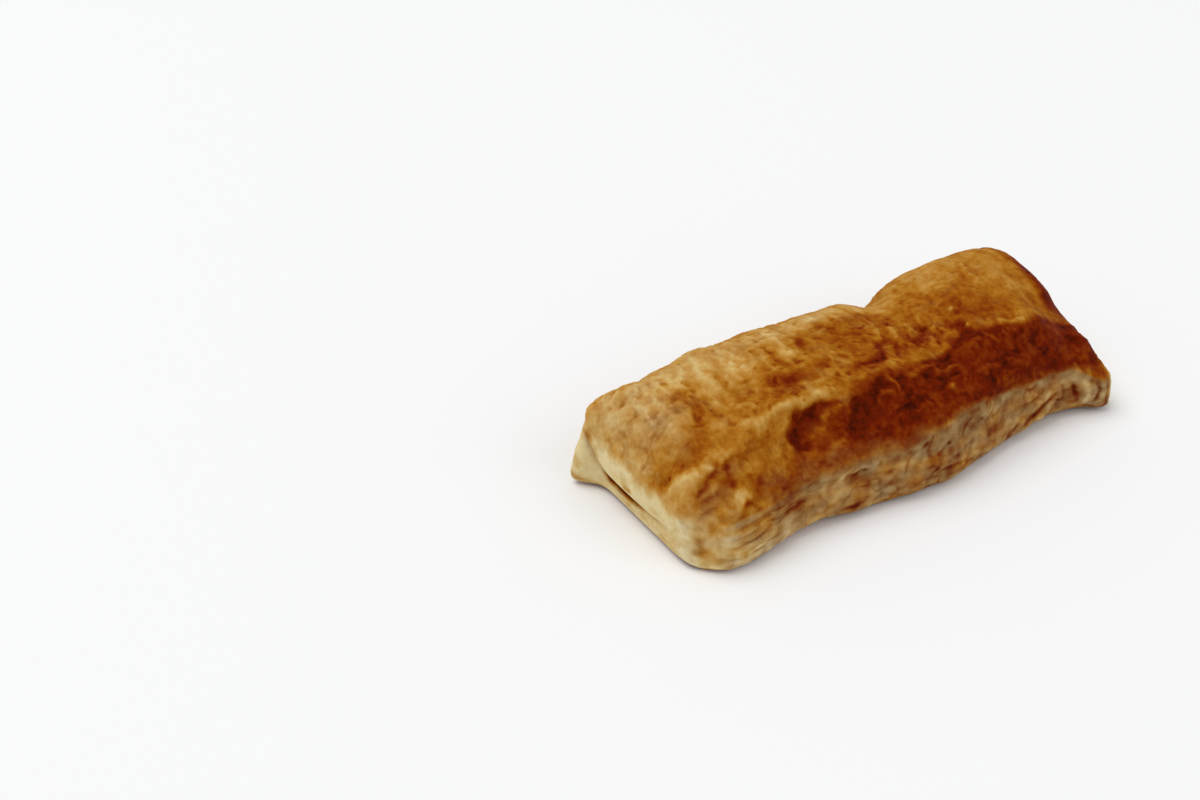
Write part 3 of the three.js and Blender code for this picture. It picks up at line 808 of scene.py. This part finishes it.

# %% [markdown]
# Crests are stretched thin and stay lighter, and troughs are made darker. How far
# each point stands out from its neighbourhood tells one from the other. A smoothed
# copy of the skin gives that neighbourhood. A second number says where flour or dry
# dough greys the colour, and where a painted sheen greys the big blister.


# %% How far each point stands out
def stand_out(piece, rounds):
    """Distance along the normal from a smoothed copy to the skin, in millimetres."""
    pick_only(piece)
    smooth = piece.modifiers.new("smooth", "SMOOTH")
    smooth.factor = 0.5
    smooth.iterations = rounds
    seen = piece.evaluated_get(bpy.context.evaluated_depsgraph_get())
    flat = np.zeros(len(seen.data.vertices) * 3)
    seen.data.vertices.foreach_get("co", flat)
    piece.modifiers.remove(smooth)
    away = points_of(piece) - flat.reshape(-1, 3) / MM
    return (away * normals_of(piece)).sum(1)


near_out = np.clip(stand_out(roll, 4), -0.25, 0.25)
wide_out = np.clip(stand_out(roll, 24), -0.6, 0.6)
bake -= 0.35 * near_out + (0.14 + 0.12 * on_seam) * wide_out
print("relief", near_out.std().round(3), "and", wide_out.std().round(3), "mm")

# %% Where the crust is greyed by dust, and by a painted sheen on the blister
# the spot on the big blister is a painted sheen; the rest greys for flour and dry dough
dusty = 0.5 * spot(x, y, (-54, 5), (7, 9)) + 0.3 * spot(x, y, (-54, -17.5), (6, 3.5))
dusty += 0.27 * bump(v_top, 16, 4) * fade(x, 0, 14)
dusty += 0.3 * shoulder * (1 - in_dark)
dusty = np.clip(dusty, 0, 1) * on_top
dry = 0.65 + 0.30 * bump(x, 57, 4) - 0.25 * fade(x, -56, -50)
dusty += (dry + 0.6 * uneven((5, 5, 3.5), 41)) * on_seam * (1 - is_crust)
dusty += 0.3 * end_face
print("dusty", int(np.clip(dusty, 0, 1).sum()), "points")


# %% Store both numbers on the skin
def store(piece, name, values):
    """Keeps one number for each point, for the material to read."""
    layer = piece.data.attributes.new(name, "FLOAT", "POINT")
    layer.data.foreach_set("value", values.astype(np.float32))


# the stored number is the browning, with painted shade and painted highlights in it
store(roll, "bake", np.clip(bake, 0, BROWNEST))
store(roll, "dusty", np.clip(dusty, 0, 1))
pick_only(roll)
bpy.ops.object.shade_smooth()
print("attributes", [a.name for a in roll.data.attributes if a.data_type == "FLOAT"])

# %% [markdown]
# ## The crust's material
#
# One material makes the whole roll, as one dough does. Several materials would be
# simpler, but they would meet in edges, and dough browns without any. A colour ramp
# goes from cream through gold and copper to burnt brown along the browning number,
# which a fine noise mottles first; that number also holds painted shade and painted
# highlights. A second ramp holds the same steps as flour or dry dough greys them, and
# as the painted sheen on the big blister greys them. Egg wash makes the browned parts
# glossier than the pale ones.

# %% Colours from cream to burnt
GOLDEN = [
    (0.00, (0.76, 0.62, 0.31)),
    (0.20, (0.63, 0.42, 0.145)),
    (0.35, (0.53, 0.275, 0.060)),
    (0.50, (0.41, 0.162, 0.013)),
    (0.62, (0.31, 0.090, 0.004)),
    (0.74, (0.225, 0.038, 0.002)),
    (0.87, (0.150, 0.012, 0.001)),
    (1.00, (0.050, 0.005, 0.001)),
]
DUST_AND_SHEEN = [
    (0.00, (0.74, 0.62, 0.38)),
    (0.20, (0.575, 0.418, 0.205)),
    (0.35, (0.440, 0.293, 0.131)),
    (0.50, (0.330, 0.199, 0.083)),
    (0.62, (0.254, 0.134, 0.046)),
    (0.74, (0.200, 0.066, 0.019)),
    (0.87, (0.135, 0.021, 0.005)),
    (1.00, (0.05, 0.006, 0.001)),
]
print(len(GOLDEN), "golden and", len(DUST_AND_SHEEN), "dusty steps")


# %% Helpers for the material
class Nodes:
    """Adds nodes to a material and links them as it goes."""

    def __init__(self, material):
        material.use_nodes = True
        self.tree = material.node_tree
        self.shader = self.tree.nodes["Principled BSDF"]

    def add(self, kind, settings=None, **inputs):
        """A new node: inputs are values, or sockets to link."""
        node = self.tree.nodes.new(kind)
        for key, value in (settings or {}).items():
            setattr(node, key, value)
        for key, value in inputs.items():
            self.feed(node.inputs[self.place(key)], value)
        return node

    def place(self, key):
        """The input's number (written _0, _1) or its name with spaces for underscores."""
        return int(key[1:]) if key[1:].isdigit() else key.replace("_", " ")

    def feed(self, socket, value):
        """Links another node's output to the socket, or sets the socket's value."""
        if isinstance(value, bpy.types.NodeSocket):
            self.tree.links.new(value, socket)
        else:
            socket.default_value = value

    def plus(self, total, share, value):
        """The total with a share of another value added to it."""
        settings = {"operation": "MULTIPLY_ADD"}
        return self.add("ShaderNodeMath", settings, _0=value, _1=share, _2=total).outputs[0]

    def minus(self, total, value):
        """The total less a value."""
        settings = {"operation": "SUBTRACT"}
        return self.add("ShaderNodeMath", settings, _0=total, _1=value).outputs[0]

    def attribute(self, name):
        """A number that was stored on the skin."""
        return self.add("ShaderNodeAttribute", {"attribute_name": name}).outputs["Fac"]

    def noise(self, where, size_mm, detail, roughness):
        """Smooth random values round 0, about -0.5 to 0.5, with lumps of that size."""
        node = self.add(
            "ShaderNodeTexNoise",
            Vector=where,
            Scale=1 / (size_mm * MM),
            Detail=detail,
            Roughness=roughness,
        )
        return self.minus(node.outputs["Fac"], 0.5)

    def ramp(self, value, stops):
        """The colour that the steps give for a value."""
        node = self.add("ShaderNodeValToRGB", Fac=value)
        elements = node.color_ramp.elements
        while len(elements) < len(stops):
            elements.new(1.0)
        for element, (place, color) in zip(elements, stops):
            element.position = place
            element.color = (*color, 1)
        return node.outputs["Color"]

    def mix(self, share, first, second):
        """The first colour where the share is 0, the second where it is 1."""
        node = self.add("ShaderNodeMix", {"data_type": "RGBA"}, _0=share, _6=first, _7=second)
        return node.outputs[2]


print("helpers", [name for name in vars(Nodes) if not name.startswith("_")])

# %% The material itself
MOTTLE_SIZE = 3.6  # millimetres, as the three below
FLECK_SIZE = 1.2
GRAIN_SIZE = 0.4
DUST_SIZE = 4.3
DULLNESS = 0.80  # roughness of the palest dough


def crust_material():
    """The baked dough, coloured by two stored numbers: browning with painted shade and
    highlights, and greying by dust with a painted sheen.
    """
    material = bpy.data.materials.new("baked_pastry")
    nodes = Nodes(material)
    where = nodes.add("ShaderNodeTexCoord").outputs["Object"]
    mottle = nodes.noise(where, MOTTLE_SIZE, detail=5.0, roughness=0.55)
    fleck = nodes.noise(where, FLECK_SIZE, detail=3.0, roughness=0.5)
    grain = nodes.noise(where, GRAIN_SIZE, detail=2.0, roughness=0.5)
    dust = nodes.noise(where, DUST_SIZE, detail=3.0, roughness=0.5)

    darker = nodes.plus(nodes.attribute("bake"), 0.42, mottle)
    darker = nodes.plus(darker, -0.22, fleck)
    darker = nodes.plus(darker, -0.06, grain)
    greyer = nodes.minus(nodes.plus(nodes.attribute("dusty"), 1.0, dust), 0.05)
    color = nodes.mix(greyer, nodes.ramp(darker, GOLDEN), nodes.ramp(darker, DUST_AND_SHEEN))

    dull = nodes.plus(DULLNESS, -0.35, darker)
    dull = nodes.plus(dull, 0.30, fleck)
    flecked = nodes.plus(fleck, 0.15, grain)
    bumps = nodes.add("ShaderNodeBump", Strength=0.6, Distance=0.30 * MM, Height=flecked)

    inputs = nodes.shader.inputs
    nodes.feed(inputs["Base Color"], color)
    nodes.feed(inputs["Roughness"], dull)
    nodes.feed(inputs["Normal"], bumps.outputs["Normal"])
    inputs["Specular IOR Level"].default_value = 0.01
    inputs["Subsurface Weight"].default_value = 0.03
    inputs["Subsurface Radius"].default_value = (1.0, 0.45, 0.18)
    inputs["Subsurface Scale"].default_value = 1.4 * MM
    return material


roll.data.materials.append(crust_material())
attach(roll, "root")
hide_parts("pastry")
print("material", roll.data.materials[0].name)

# %% [markdown]
